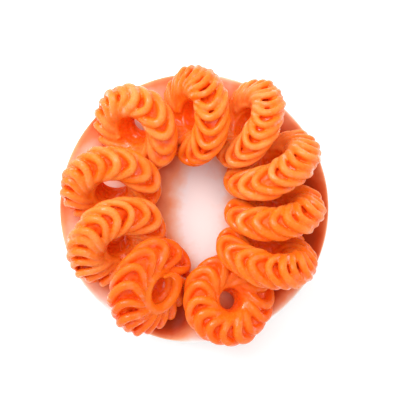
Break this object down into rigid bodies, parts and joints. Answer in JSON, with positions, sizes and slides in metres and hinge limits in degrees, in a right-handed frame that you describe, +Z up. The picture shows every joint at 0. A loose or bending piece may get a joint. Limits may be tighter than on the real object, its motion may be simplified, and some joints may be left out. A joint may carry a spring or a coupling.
{
  "type": "plate of jangiri",
  "caption": "Shallow round white plate with a circle of piped, syrup-soaked orange ring sweets leaning on each other and a clear space left in the middle.",
  "frame": {"origin": "middle of the plate's flat base, on the surface it stands on", "axes": "+Z up; +X to the right and +Y to the far side, as the heap is seen from above"},
  "size_m": [0.23, 0.2344, 0.0857],
  "materials": {
    "jangiri": "syrup-glazed fried batter, soft gloss",
    "plate": "glossy white glaze"
  },
  "bodies": {
    "root": {"plate": "plate", "jangiri_01": "jangiri", "jangiri_02": "jangiri", "jangiri_03": "jangiri", "jangiri_04": "jangiri", "jangiri_05": "jangiri", "jangiri_06": "jangiri", "jangiri_07": "jangiri", "jangiri_08": "jangiri", "jangiri_09": "jangiri", "jangiri_10": "jangiri"}
  },
  "joints": []
}
